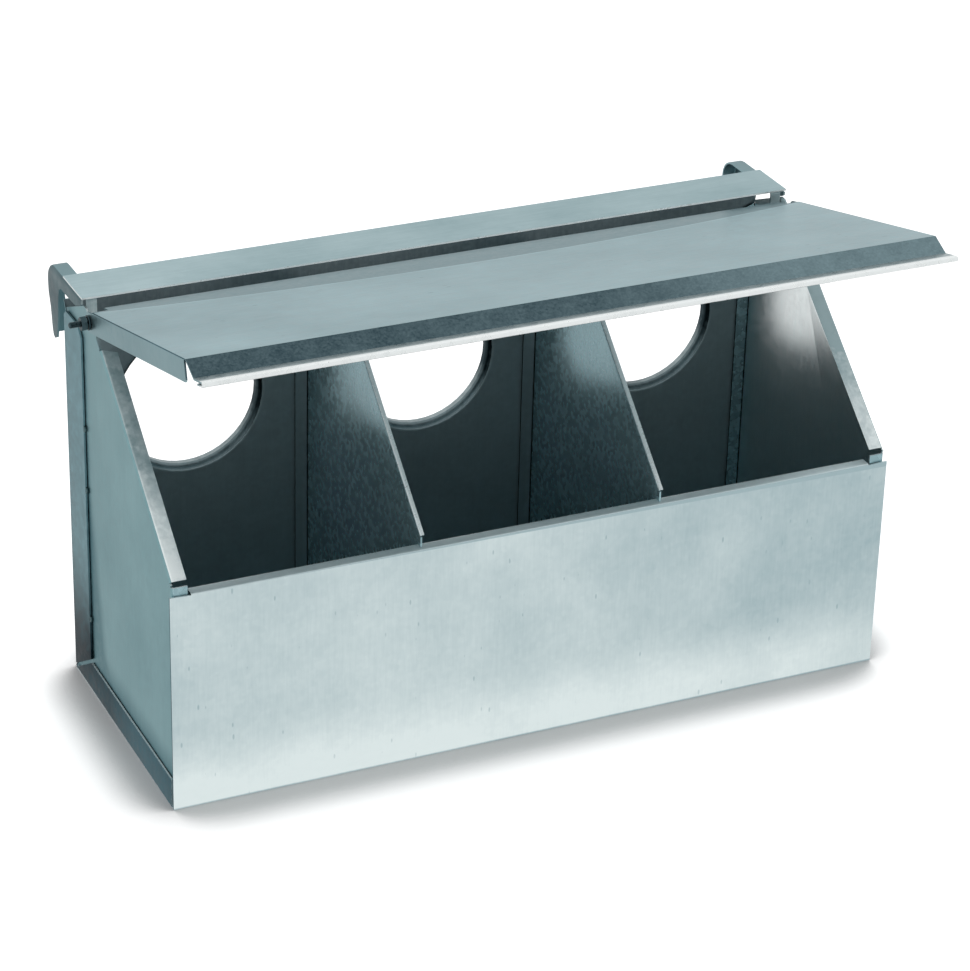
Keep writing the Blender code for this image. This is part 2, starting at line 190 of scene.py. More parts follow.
def drift_level(tree, place, level, direction, start, stop, change, bow=0.0):
    """Moves the level by a change that grows from nothing at start to all of it at stop."""
    weights = [MM_PER_METRE * part for part in direction]
    along = add_node(tree, "ShaderNodeVectorMath", {0: place, 1: weights},
                     operation="DOT_PRODUCT").outputs["Value"]
    if bow:
        across = add_node(tree, "ShaderNodeVectorMath", {0: place, 1: (MM_PER_METRE, 0.0, 0.0)},
                          operation="DOT_PRODUCT")
        square = add_node(tree, "ShaderNodeMath", {0: across.outputs["Value"], 1: 2.0}, operation="POWER")
        along = add_node(tree, "ShaderNodeMath", {0: square.outputs[0], 1: bow, 2: along},
                         operation="MULTIPLY_ADD").outputs[0]
    ramp = add_node(tree, "ShaderNodeMapRange", {0: along, 1: start, 2: stop, 3: 0.0, 4: change},
                    interpolation_type="SMOOTHSTEP")
    return add_node(tree, "ShaderNodeMath", {0: level, 1: ramp.outputs[0]}, operation="ADD").outputs[0]


def dross_specks(tree, place, grain):
    """One small speck in some of the cells, a little drawn out: 1 on the speck and 0 beside it."""
    stretch = [max(part, SPECK_STRETCH) for part in grain]
    drawn = add_node(tree, "ShaderNodeMapping", {"Vector": place, "Scale": stretch})
    cells = add_node(tree, "ShaderNodeTexVoronoi",
                     {"Vector": drawn.outputs[0], "Scale": per_metre(SPECK_CELL_MM)})
    luck = add_node(tree, "ShaderNodeSeparateColor", {"Color": cells.outputs["Color"]}).outputs[0]
    radius = add_node(tree, "ShaderNodeMapRange", {0: luck, 1: SPECK_LUCK, 2: 1.0, 3: 0.0, 4: SPECK_SIZE})
    rim = add_node(tree, "ShaderNodeMath", {0: radius.outputs[0], 1: cells.outputs["Distance"]},
                   operation="SUBTRACT")
    return add_node(tree, "ShaderNodeMapRange",
                    {0: rim.outputs[0], 1: 0.0, 2: SPECK_RIM * SPECK_SIZE}).outputs[0]


# %% [markdown]
# The sheet isn't quite flat: it waves by a hair over 38 mm or so, and its skin has a tooth of 0.9 mm. Clean
# metal turns white at a glancing angle. The oxide on old zinc holds that back, so its edge tone is a grey.
# The darker edge tone on the bands, on the tray's side walls and on the lip of the lid is painted shade.

# %% One recipe for every zinc
ALONG_X = (0.08, 1.0, 1.0)
ALONG_Z = (1.0, 1.0, 0.08)
EDGE_TONE = 0.7
WAVE_MM = 38.0
WAVE_HEIGHT = 0.0006
WAVE_STRENGTH = 0.25
TOOTH_MM = 0.9
TOOTH_HEIGHT = 0.0001
GLOSS_SPREAD = 0.03
GLOSS_PER_SPANGLE = 0.15


def add_relief(tree, place, ragged, bump):
    """The waves of the sheet and the tooth of its skin, as a normal."""
    wave = add_node(tree, "ShaderNodeTexNoise",
                    {"Vector": place, "Scale": per_metre(WAVE_MM), "Detail": 1.0})
    tooth = add_node(tree, "ShaderNodeTexNoise",
                     {"Vector": ragged, "Scale": per_metre(TOOTH_MM), "Detail": 2.0})
    waved = add_node(tree, "ShaderNodeBump",
                     {"Height": wave.outputs[0], "Strength": WAVE_STRENGTH, "Distance": WAVE_HEIGHT})
    return add_node(tree, "ShaderNodeBump", {"Height": tooth.outputs[0], "Strength": bump,
                                             "Distance": TOOTH_HEIGHT, "Normal": waved.outputs[0]}).outputs[0]


def galvanised_zinc(name, dark, light, roughness, metallic=1.0, spangle_mm=2.0, spangle=0.15, cloud_mm=45.0,
                    cloud=0.5, streak=0.15, grain=ALONG_Z, specks=0.0, drifts=(), bump=0.1, edge=EDGE_TONE):
    """Zinc from dark to light. spangle, cloud, streak and specks say how far each moves its tone."""
    material = bpy.data.materials.new(name)
    material.use_nodes = True
    tree = material.node_tree
    shader = tree.nodes["Principled BSDF"]
    shader.inputs["Metallic"].default_value = metallic
    shader.inputs["Specular Tint"].default_value = (edge, edge, edge, 1.0)
    place = add_node(tree, "ShaderNodeTexCoord").outputs["Object"]
    ragged = ragged_place(tree, place)
    tone = crystal_tone(tree, ragged, spangle_mm)
    level = add_level(tree, EVEN, tone, spangle)
    level = add_level(tree, level, cloud_tone(tree, place, cloud_mm), 2.0 * cloud)
    level = add_level(tree, level, streak_tone(tree, place, grain), 2.0 * streak)
    for drift in drifts:
        level = drift_level(tree, place, level, *drift)
    if specks:
        level = add_level(tree, level, dross_specks(tree, place, grain), -specks, 0.0)
    colour = add_node(tree, "ShaderNodeMix", {0: level, 6: linear(dark), 7: linear(light)}, data_type="RGBA")
    tree.links.new(colour.outputs[2], shader.inputs["Base Color"])
    spread = GLOSS_SPREAD + GLOSS_PER_SPANGLE * spangle
    gloss = add_node(tree, "ShaderNodeMapRange", {0: tone, 3: roughness - spread, 4: roughness + spread})
    tree.links.new(gloss.outputs[0], shader.inputs["Roughness"])
    tree.links.new(add_relief(tree, place, ragged, bump), shader.inputs["Normal"])
    return material


# %% [markdown]
# The front panel is the brightest sheet: pale, clouded and finely scratched from top to bottom. Its pale
# tone, lighter towards its lower fold and darker towards the right, is a painted reflection of the lit
# floor in front, and a thin dark line on the lower fold is a painted reflection of the floor's shadow. A
# duller strip follows its hem. The side is a mid grey-green, painted darker than the front as shade, and
# darker still towards the band at its rear and towards the floor. That darkening, like the dark band and
# the dark folded side walls of the tray, is a painted reflection of the shadowed floor. The lid is smooth,
# with marks along its length. Its duller strip at the rear, behind a soft bowed crease, is painted:
# the sheet stays flat, the crease is a painted highlight and the strip behind it painted shade.

# %% Zinc of the front, the sides and the back
HEM_SLANT = (0.008, 0.0, 1.0)
SIDE_SLANT = (0.0, 1.0, -0.2)
SHADED_EDGE = 0.5
# Painted reflection: lighter towards the lower fold, darker to the right, and a dark line on the lower fold.
front_zinc = galvanised_zinc("galvanised_front", "#A0B5BA", "#DDE8E8", 0.42, cloud=0.42, streak=0.13,
                             specks=0.45, drifts=[(Z, 36.0, 4.0, 0.62), (X, -60.0, 150.0, -0.32),
                                                  (HEM_SLANT, 89.9, 90.3, -0.7), (Z, 1.2, 0.5, -0.9)])
# Painted shade: darker than the front, and darker towards the band at the rear and towards the floor.
side_zinc = galvanised_zinc("galvanised_side", "#577C83", "#97B8BC", 0.38, cloud=0.28, streak=0.08,
                            drifts=[(SIDE_SLANT, 12.0, 26.0, -0.75), (Z, 26.0, 12.0, -0.5)])
# Painted shade: the band darkens towards the floor, a painted reflection of the floor's shadow.
band_zinc = galvanised_zinc("galvanised_band", "#1C2E36", "#98BBC3", 0.38, cloud=0.12, streak=0.06,
                            edge=SHADED_EDGE, drifts=[(Z, 10.0, 64.0, 0.2), (Z, 64.0, 10.0, -0.5)])
back_zinc = galvanised_zinc("galvanised_back", "#6F878C", "#A3B8BC", 0.4, spangle=0.3)
# Painted shade: the tray's folded side walls are dark, and darker towards the rear.
fold_zinc = galvanised_zinc("galvanised_fold", "#233A42", "#5C8591", 0.38, edge=SHADED_EDGE,
                            drifts=[(Y, -30.0, 50.0, -0.45)])
print("materials:", len(bpy.data.materials))

# %% Zinc of the lid, the rail and the hooks
CREASE_BOW = -0.00076
# The crease is a painted highlight and the strip behind it painted shade; the sheet is flat there.
lid_zinc = galvanised_zinc("galvanised_lid", "#88A2A8", "#B4D0D6", 0.35, cloud=0.4, streak=0.25,
                           grain=ALONG_X, specks=0.5,
                           drifts=[(X, -150.0, -20.0, 0.1), (Y, 3.2, 4.6, 0.35, CREASE_BOW),
                                   (Y, 4.6, 5.4, -1.0, CREASE_BOW)])
rail_zinc = galvanised_zinc("galvanised_rail", "#8AA5AA", "#B6CBCF", 0.35, cloud=0.6, streak=0.25,
                            grain=ALONG_X, drifts=[(X, -60.0, -150.0, 0.25)])
flange_zinc = galvanised_zinc("galvanised_flange", "#738F95", "#91ACB1", 0.38)
hem_zinc = galvanised_zinc("galvanised_hem", "#BDD0D4", "#E2F0F2", 0.42, metallic=0.35, grain=ALONG_X)
hook_zinc = galvanised_zinc("galvanised_hook", "#3C4E55", "#6B8286", 0.38, cloud_mm=14.0, cloud=0.7)
print("materials:", len(bpy.data.materials))

# %% [markdown]
# Inside, the same zinc looks nearly black where it faces the dark trough and bright where it mirrors a
# feeding hole. A clean metal would lose all light after a few reflections, so most of these scatter part of
# it, as dusty zinc does. The back panel has a painted shade along its top, under the rail, and is painted
# lighter below it.

# %% Zinc of the inside
inside_zinc = galvanised_zinc("galvanised_inside", "#6B888E", "#B7DAE2", 0.28, metallic=0.62, spangle_mm=1.8,
                              spangle=0.3, cloud=0.3, bump=0.3)
# Painted shade along the top of the back panel, under the rail, and painted light below it.
panel_zinc = galvanised_zinc("galvanised_panel", "#2C3B40", "#9AADB2", 0.32, metallic=0.55, spangle_mm=1.8,
                             spangle=0.1, cloud=0.12, streak=0.08,
                             drifts=[(Z, 150.0, 146.0, 0.4), (Z, 146.0, 150.0, -0.25)])
wall_zinc = galvanised_zinc("galvanised_end_wall", "#E0EEEE", "#FFFFFF", 0.32, spangle=0.1, cloud=0.3,
                            streak=0.3)
# Painted shade and light: darker at the top under the lid, lighter at the foot, and darker to the right.
slope_zinc = galvanised_zinc("galvanised_slope", "#93A8AC", "#F8FFFF", 0.45, metallic=0.65, spangle_mm=1.8,
                             spangle=0.3, cloud_mm=9.0, cloud=0.35,
                             drifts=[(Z, 128.0, 100.0, 0.5), (Z, 112.0, 136.0, -0.3),
                                     (X, -100.0, 100.0, -0.4)])
print("materials:", len(bpy.data.materials))

# %% [markdown]
# Cut edges catch the light, because the shears leave them smeared, and the same pale zinc is a painted
# highlight on rounded folds such as the rear line of the hem. The ledge of the lid has a painted highlight
# and a painted dark reflection along it. The lip of the lid has a spangle of less than a millimetre on a
# dark tone, which is a painted dark reflection. The collars and the seams are painted dark as shade. The
# screws, nuts and washers are plated with a thin coat of zinc, which is smoother and darker, and a weld
# burns the zinc off.

# %% Zinc of the edges, the lips and the fasteners
COLLAR_SHADE = (Z, 86.0, 106.0, -0.45)
# Painted highlight towards the front of the ledge and a painted dark reflection behind it.
ledge_zinc = galvanised_zinc("galvanised_ledge", "#768C91", "#FAFFFF", 0.3, metallic=0.45, spangle=0.1,
                             cloud=0.1, drifts=[(Y, -92.0, -94.0, 0.5), (Y, -94.0, -92.0, -0.3)])
# Bright cut edges, and a painted highlight where this zinc lies on rounded folds.
edge_and_highlight_zinc = galvanised_zinc("cut_edge_and_fold_highlight", "#DCE9EC", "#FAFFFF", 0.3, metallic=0.45, spangle_mm=1.5)
# Real fine spangle on a dark tone that is a painted dark reflection.
lip_zinc = galvanised_zinc("spangled_lip", "#2A3D45", "#93ACB2", 0.35, spangle_mm=0.9, spangle=0.12,
                           cloud_mm=12.0, cloud=0.12, edge=0.4,
                           drifts=[(X, 100.0, 0.0, -0.3), (X, 0.0, -150.0, -0.06)])
collar_zinc = galvanised_zinc("galvanised_collar", "#222E32", "#8FA3A8", 0.38, drifts=[COLLAR_SHADE])
rim_zinc = galvanised_zinc("galvanised_rim", "#2C3A3F", "#C9D8DA", 0.35, drifts=[COLLAR_SHADE])
seam_zinc = galvanised_zinc("shaded_seam", "#0E1416", "#1E282B", 0.5)
plated_steel = galvanised_zinc("zinc_plated_steel", "#1E2C31", "#4A5D62", 0.3, spangle_mm=0.8)
weld_zinc = galvanised_zinc("burnt_weld_zinc", "#3F5458", "#6B8386", 0.45, spangle_mm=0.6, spangle=0.4)
print("materials:", len(bpy.data.materials))

# %% [markdown]
# The CAD nodes are loose triangles. A copy of one is merged by distance, so that its folds become one
# surface. The import left normals of its own on the mesh, which would bend the shading of flat faces, so
# they are cleared, and the faces are smoothed wherever they meet at less than a sharp angle. The copy stands
# for the node and rides on the same body. Each face then gets its zinc by where it lies and which way it
# points. Three numbers sort the ways: how much of a face's normal has to run along an axis for it to lean,
# to tilt or to face that way.

# %% Copies of the sheets
FOLD_ANGLE = math.radians(38)
MERGE_DISTANCE = 1e-6
LEANS = 0.3
TILTS = 0.5
FACES = 0.7


def select_only(piece):
    """Deselects everything but one piece and makes it active."""
    bpy.ops.object.select_all(action="DESELECT")
    piece.select_set(True)
    bpy.context.view_layer.objects.active = piece


def sheet_copy(node, piece_name, finishes, choose):
    """A smooth copy of a sheet. choose gives the number of a face's finish from its middle and normal."""
    piece = bpy.data.objects.new(piece_name, nodes[node].data.copy())
    bpy.context.scene.collection.objects.link(piece)
    select_only(piece)
    bpy.ops.object.mode_set(mode="EDIT")
    bpy.ops.mesh.select_all(action="SELECT")
    bpy.ops.mesh.remove_doubles(threshold=MERGE_DISTANCE)
    bpy.ops.object.mode_set(mode="OBJECT")
    bpy.ops.mesh.customdata_custom_splitnormals_clear()
    bpy.ops.object.shade_smooth_by_angle(angle=FOLD_ANGLE)
    piece.data.materials.clear()
    for finish in finishes:
        piece.data.materials.append(finish)
    for face in piece.data.polygons:
        face.material_index = choose(face.center * MM_PER_METRE, face.normal)
    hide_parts(node)
    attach(piece, "lid" if node == "lid" else "root")
    print(piece_name, "faces:", len(piece.data.polygons))


def faces_out(middle, normal):
    """Whether a face points to the side and away from the middle of the feeder."""
    return middle.x * normal.x > 0 and abs(normal.x) > FACES


# %% The tray
TRAY_MIDDLE = 45.0
HEM_TOP = 90.2
HEM_REAR = -54.9
WALL_X = 149.0
UNDERSIDE = 1.0


def tray_finish(middle, normal):
    """Front 0, side walls 1, inside 2, rear line of the hem and top edges 3, top of the hem 4."""
    if normal.z > LEANS and middle.z > HEM_TOP:
        return 3 if middle.y > HEM_REAR else 4
    if normal.z > LEANS and abs(middle.x) > WALL_X and middle.z > UNDERSIDE:
        return 3
    if middle.x * normal.x + middle.y * normal.y + (middle.z - TRAY_MIDDLE) * normal.z < 0:
        return 2
    return 1 if abs(normal.x) > FACES else 0


sheet_copy("tray", "tray_sheet", [front_zinc, fold_zinc, inside_zinc, edge_and_highlight_zinc, hem_zinc], tray_finish)

# %% The back panel
HOLE_MIDDLES = (-100.0, 0.0, 100.0)
HOLE_HEIGHT = 110.2
COLLAR_REACH = 32.2
COLLAR_BEND = 60.6
FLAT = 0.97
PANEL_TOP = 157.0
BAND_X = 148.0
INWARDS = -0.5


def back_finish(middle, normal):
    """Inside 0, bands 1, top edge 2, back 3, folds of the collars 4, their rims 5."""
    from_hole = min(math.hypot(middle.x - x, middle.z - HOLE_HEIGHT) for x in HOLE_MIDDLES)
    if from_hole < COLLAR_REACH and normal.y > -FLAT:
        return 4 if middle.y < COLLAR_BEND else 5
    if normal.z > TILTS and middle.z > PANEL_TOP:
        return 2
    if abs(middle.x) > BAND_X and middle.x * normal.x > INWARDS:
        return 1
    return 0 if normal.y < 0 else 3


sheet_copy("back_panel", "back_panel_sheet",
           [panel_zinc, band_zinc, flange_zinc, back_zinc, collar_zinc, rim_zinc], back_finish)

# %% Finishes of the end walls
REAR_SEAM_Y = 55.0
NOSE_Y = -55.0
NOSE_HEIGHT = 88.0
SLOPE_X = 142.0


def side_finish(middle, normal):
    """Outside 0, inside 1, slope flange and edges 2, rear flange 3, nose 4, seams at the rear flange 5."""
    if faces_out(middle, normal) and abs(middle.x) > BAND_X:
        return 0
    if middle.y > REAR_SEAM_Y and middle.x * normal.x < 0 and abs(normal.x) > LEANS:
        return 5
    if abs(normal.x) > FACES:
        return 1
    if normal.y < -TILTS and middle.z > NOSE_HEIGHT and middle.y < NOSE_Y:
        return 4
    if abs(middle.x) > SLOPE_X and normal.z > LEANS:
        return 2
    return 3


# %% The end walls, the dividers and the hook brackets
REAR_FLANGE_Y = 50.0
SLOPE_FOOT = 90.0
FLAP_Y = 38.0


def divider_finish(middle, normal):
    """Walls and floor flange 0, the slope's narrow strip 1, seams at the rear flange 2, rear flange 3."""
    if middle.y > REAR_SEAM_Y and normal.x < -LEANS:
        return 2
    if middle.y > REAR_FLANGE_Y and normal.y < -FACES:
        return 3
    on_slope = normal.z > TILTS and normal.y < -LEANS and middle.z > SLOPE_FOOT
    return 1 if on_slope else 0


def bracket_finish(middle, normal):
    """Outer face 0, top and back 1, front flap 2."""
    if normal.y < -FACES and middle.y < FLAP_Y:
        return 2
    return 0 if faces_out(middle, normal) else 1


for label in ("left", "right"):
    sheet_copy("side_" + label, f"side_{label}_sheet",
               [side_zinc, wall_zinc, slope_zinc, inside_zinc, flange_zinc, seam_zinc], side_finish)
    sheet_copy("divider_" + label, f"divider_{label}_sheet",
               [inside_zinc, edge_and_highlight_zinc, seam_zinc, panel_zinc], divider_finish)
    sheet_copy("hook_bracket_" + label, f"hook_bracket_{label}_sheet", [hook_zinc, flange_zinc, slope_zinc],
               bracket_finish)

# %% The lid and the rail
LID_FRONT = -79.0
LIP_END = -85.7
LEDGE_FRONT = -93.5
SIDE_FOLD = 0.25


def lid_finish(middle, normal):
    """Top 0, side flanges 1, lip 2, ledge 3, underside 4, folds at the sides 5."""
    if normal.z > LEANS and abs(normal.x) > SIDE_FOLD:
        return 5
    if middle.y < LID_FRONT and normal.z > 0.0:
        return 3 if middle.y < LIP_END else 2
    if middle.y < LEDGE_FRONT:
        return 3
    if abs(normal.x) > FACES:
        return 1
    return 0 if normal.z > LEANS else 4


def rail_finish(middle, normal):
    """Flat faces 0, cut edges 1."""
    return 0 if abs(normal.z) > FACES else 1


sheet_copy("lid", "lid_sheet", [lid_zinc, flange_zinc, lip_zinc, ledge_zinc, back_zinc, fold_zinc],
           lid_finish)
sheet_copy("top_rail", "top_rail_sheet", [rail_zinc, edge_and_highlight_zinc], rail_finish)

# %% [markdown]
# Each pivot is an M2.5 machine screw with a pan head inside, a washer on either side of the sheets and a
# hexagon nut outside, from which the thread stands out. The sizes come from the CAD nodes that the pieces
# stand for. These helpers do what a hand would do in turn: apply a piece's place, apply a modifier, pick
# faces, and give the finished piece its shading, material, slot and body.

# %% Helpers for the pivots
BEVEL_ANGLE = math.radians(30)
TURN = (0.0, math.pi / 2, 0.0)
END_FACE = 0.9
FINE_STEPS = 48
SMALL_STEPS = 32


def node_span(node):
    """The middle of a node's box and its size, in metres."""
    low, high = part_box(node)
    return (low + high) / 2, high - low


def apply_place():
    """Applies the active piece's place, turn and scale to its mesh."""
    bpy.ops.object.transform_apply(location=True, rotation=True, scale=True)


def apply_modifier(piece, kind, **settings):
    """Adds a modifier with its settings and applies it."""
    modifier = piece.modifiers.new(kind.lower(), kind)
    for name, value in settings.items():
        setattr(modifier, name, value)
    select_only(piece)
    bpy.ops.object.modifier_apply(modifier=modifier.name)


def bevel_edges(piece, width, segments):
    """Bevels the edges of a piece that are sharper than the bevel angle."""
    apply_modifier(piece, "BEVEL", width=width, segments=segments, limit_method="ANGLE",
                   angle_limit=BEVEL_ANGLE)


def select_faces(piece, chosen):
    """Leaves a piece in edit mode with only the chosen faces selected. chosen tests a face."""
    bpy.ops.object.mode_set(mode="EDIT")
    bpy.ops.mesh.select_mode(type="FACE")
    bpy.ops.mesh.select_all(action="DESELECT")
    bpy.ops.object.mode_set(mode="OBJECT")
    for face in piece.data.polygons:
        face.select = chosen(face)
    bpy.ops.object.mode_set(mode="EDIT")


def add_disc(name, middle, radius, depth, steps):
    """A disc about an axis along X, with its place in its mesh."""
    bpy.ops.object.select_all(action="DESELECT")
    bpy.ops.mesh.primitive_cylinder_add(vertices=steps, radius=radius, depth=depth, location=middle,
                                        rotation=TURN)
    disc = bpy.context.active_object
    disc.name = name
    apply_place()
    return disc


def finish_piece(piece, node, finish):
    """Shades a new piece, gives it its material and lets it stand for a CAD node, if there is one."""
    select_only(piece)
    bpy.ops.object.shade_smooth_by_angle(angle=BEVEL_ANGLE)
    piece.data.materials.clear()
    piece.data.materials.append(finish)
    if node:
        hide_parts(node)
    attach(piece, "root")
    print(piece.name, "triangles:", sum(len(face.vertices) - 2 for face in piece.data.polygons))


# %% [markdown]
# A washer is stamped from sheet, which leaves its rims slightly round. It is a disc whose two faces are
# inset and bridged into a bore, and its edges get a small bevel.

# %% Washers
THREAD_RADIUS = 0.00125
PLAY = 0.00015
STAMPED_EDGE = 0.00009


def add_washer(node):
    """A flat ring with a rounded rim and bore."""
    middle, size = node_span(node)
    outer = size.y / 2
    washer = add_disc(node + "_ring", middle, outer, size.x, FINE_STEPS)
    select_faces(washer, lambda face: abs(face.normal.x) > END_FACE)
    bpy.ops.mesh.inset(thickness=outer - THREAD_RADIUS - PLAY, use_individual=True)
    bpy.ops.mesh.bridge_edge_loops()
    bpy.ops.object.mode_set(mode="OBJECT")
    bevel_edges(washer, STAMPED_EDGE, 2)
    finish_piece(washer, node, plated_steel)


for label in ("left", "right"):
    add_washer("inner_washer_" + label)
    add_washer("outer_washer_" + label)

# %% [markdown]
# A nut is a six-sided prism. Its corners are turned off at both ends, which leaves the curved lines that
# every hexagon nut has: the prism is intersected with a disc whose rims are bevelled. A round bore then
# takes the thread.

# %% Nuts
NUT_CHAMFER = 0.00045
TURNING_SPARE = 1.01


def cut_with(piece, cutter, operation):
    """Cuts one piece with another by a Boolean and removes the cutter."""
    apply_modifier(piece, "BOOLEAN", object=cutter, operation=operation, solver="EXACT")
    bpy.data.objects.remove(cutter)


def add_nut(node):
    """A hexagon nut with a flat on top, chamfered corners and a bore."""
    middle, size = node_span(node)
    corner = size.z / 2 / math.cos(math.pi / 6)
    nut = add_disc(node + "_hexagon", middle, corner, size.x, 6)
    select_only(nut)
    bpy.ops.object.mode_set(mode="EDIT")
    bpy.ops.mesh.select_all(action="SELECT")
    bpy.ops.transform.rotate(value=math.pi / 6, orient_axis="X", center_override=middle)
    bpy.ops.object.mode_set(mode="OBJECT")
    turned = add_disc("nut_turning", middle, corner * TURNING_SPARE, size.x, FINE_STEPS)
    bevel_edges(turned, NUT_CHAMFER, 1)
    cut_with(nut, turned, "INTERSECT")
    bore = add_disc("nut_bore", middle, THREAD_RADIUS + PLAY / 3, size.x * 2, SMALL_STEPS)
    cut_with(nut, bore, "DIFFERENCE")
    finish_piece(nut, node, plated_steel)
    heights = [vertex.co.z for vertex in nut.data.vertices]
    print("  across flats:", round((max(heights) - min(heights)) * MM_PER_METRE, 2), "mm")


for label in ("left", "right"):
    add_nut("pivot_nut_" + label)

# %% [markdown]
# The screw's thread is a ridge that winds round a core. A small triangle, pointing outwards, is carried
# round the axis by a Screw modifier, 0.45 mm a turn, and its two ends are filled. Its foot is sunk in the
# core by a fifth of the ridge's height. The core is a cylinder with a bevelled tip.

# %% The thread
PITCH = 0.00045
RIDGE = 0.0002
RIDGE_FOOT = -1.2
RIDGE_WIDTH = 0.9
TURN_STEPS = 24


def add_thread(start, length, axis_place):
    """The helical ridge of a thread that starts at a place along X."""
    bpy.ops.object.select_all(action="DESELECT")
    bpy.ops.mesh.primitive_circle_add(vertices=3, radius=RIDGE,
                                      location=(start, axis_place.y, axis_place.z))
    ridge = bpy.context.active_object
    profile = ((-0.5, RIDGE_FOOT), (0.5, RIDGE_FOOT), (0.0, 0.0))
    for corner, (along, out) in zip(ridge.data.vertices, profile):
        corner.co = (along * PITCH * RIDGE_WIDTH, 0.0, THREAD_RADIUS + out * RIDGE)
    apply_modifier(ridge, "SCREW", axis="X", screw_offset=PITCH, iterations=int(length / PITCH),
                   steps=TURN_STEPS, render_steps=TURN_STEPS, use_merge_vertices=False)
    apply_place()
    bpy.ops.object.mode_set(mode="EDIT")
    bpy.ops.mesh.select_all(action="SELECT")
    bpy.ops.mesh.fill_holes(sides=3)
    bpy.ops.mesh.normals_make_consistent(inside=False)
    bpy.ops.object.mode_set(mode="OBJECT")
    return ridge


# %% [markdown]
# The pan head is a disc with a rounded rim and a slot for the screwdriver. The head, the core and the ridge
# are joined. The ridge stops a little short of both ends of the core.

# %% Screws
HEAD = 0.0017
HEAD_ROUNDING = 0.0007
SLOT_SIZE = (0.0014, 0.0006, 0.01)
TIP_CHAMFER = 0.0003
BARE_PITCHES = 1.5
START_PITCHES = {-1: 0.9, 1: 0.6}


def add_head(inner, head_end, side, radius, axis_place):
    """The slotted pan head, whose rounded face is at inner."""
    middle = axis_place + Vector(((inner + head_end) / 2, 0.0, 0.0))
    head = add_disc("head", middle, radius, HEAD, FINE_STEPS)
    select_faces(head, lambda face: face.normal.x * side < -END_FACE)
    bpy.ops.mesh.bevel(offset=HEAD_ROUNDING, segments=4)
    bpy.ops.object.mode_set(mode="OBJECT")
    bpy.ops.object.select_all(action="DESELECT")
    bpy.ops.mesh.primitive_cube_add(size=1.0, location=axis_place + Vector((inner, 0.0, 0.0)),
                                    scale=SLOT_SIZE)
    slot = bpy.context.active_object
    apply_place()
    cut_with(head, slot, "DIFFERENCE")
    return head


def add_screw(node, side):
    """A machine screw whose head is inside the wall and whose tip stands out of the nut."""
    middle, size = node_span(node)
    axis_place = Vector((0.0, middle.y, middle.z))
    inner = middle.x - side * size.x / 2
    head_end = inner + side * HEAD
    tip = middle.x + side * size.x / 2
    length = abs(tip - head_end)
    core_middle = axis_place + Vector(((head_end + tip) / 2, 0.0, 0.0))
    core = add_disc(node + "_thread", core_middle, THREAD_RADIUS - RIDGE, length, SMALL_STEPS)
    bevel_edges(core, TIP_CHAMFER, 1)
    start = min(head_end, tip) + START_PITCHES[side] * PITCH
    ridge = add_thread(start, length - BARE_PITCHES * PITCH, axis_place)
    head = add_head(inner, head_end, side, size.y / 2, axis_place)
    select_only(core)
    ridge.select_set(True)
    head.select_set(True)
    bpy.ops.object.join()
    finish_piece(core, node, plated_steel)


for label, side in (("left", -1), ("right", 1)):
    add_screw("pivot_bolt_" + label, side)

# %% [markdown]
# The sheets are spot welded. Where the band of the back panel ends on the end wall, a weld shows as a small
# dark dish on the seam, burnt and pressed flat. One is modelled from a disc: its face is inset and pushed
# in, and the rim is rounded. Each spot has its own mesh, and the spots of one side are joined.

# %% Weld spots
SEAM_Y = 0.0374
SEAM_X = 0.14995
WELD_SUNK = 0.00038
WELD_HEIGHTS = (0.0322, 0.0891, 0.1154)
WELD_RADIUS = 0.0013
WELD_THICKNESS = 0.0008
WELD_STEPS = 24
DISH_RIM = 0.35
DISH_SLOPE = 0.3
DISH_DEPTH = 0.00012
WELD_ROUNDING = 0.0001


def add_weld(side, height):
    """One pressed weld spot on the seam."""
    weld = add_disc("weld_spot", (side * (SEAM_X - WELD_SUNK), SEAM_Y, height), WELD_RADIUS,
                    WELD_THICKNESS, WELD_STEPS)
    select_faces(weld, lambda face: face.normal.x * side > END_FACE)
    bpy.ops.mesh.inset(thickness=WELD_RADIUS * DISH_RIM)
    bpy.ops.mesh.inset(thickness=WELD_RADIUS * DISH_SLOPE, depth=-DISH_DEPTH)
    bpy.ops.object.mode_set(mode="OBJECT")
    bevel_edges(weld, WELD_ROUNDING, 2)
    return weld


for label, side in (("left", -1), ("right", 1)):
    spots = [add_weld(side, height) for height in WELD_HEIGHTS]
    select_only(spots[0])
    for spot in spots[1:]:
        spot.select_set(True)
    bpy.ops.object.join()
    spots[0].name = f"weld_spots_{label}"
    finish_piece(spots[0], None, weld_zinc)

# %% [markdown]
# The floor is plain and pale. The camera sees it as white, because the light path adds to what the lamps
# give, and only close to the feeder, where little of the sky is seen, is less added: there the contact
# shadow stays. Reflections see a white floor.

# %% Floor
WHITE = (1.0, 1.0, 1.0, 1.0)
FLOOR_SIZE = 12.0
FLOOR_TONE = "#E6E6E6"
FLOOR_LIFT = 0.7
SHADOW_REACH = 0.032
SKY_AT_FOOT = 0.6
SKY_IN_CLEAR = 0.98


def seen_by(tree, rays):
    """1 for the rays named, such as the camera's, and 0 for the others."""
    path = add_node(tree, "ShaderNodeLightPath")
    seen = path.outputs[rays[0]]
    for name in rays[1:]:
        seen = add_node(tree, "ShaderNodeMath", {0: seen, 1: path.outputs[name]},
                        operation="MAXIMUM").outputs[0]
    return seen


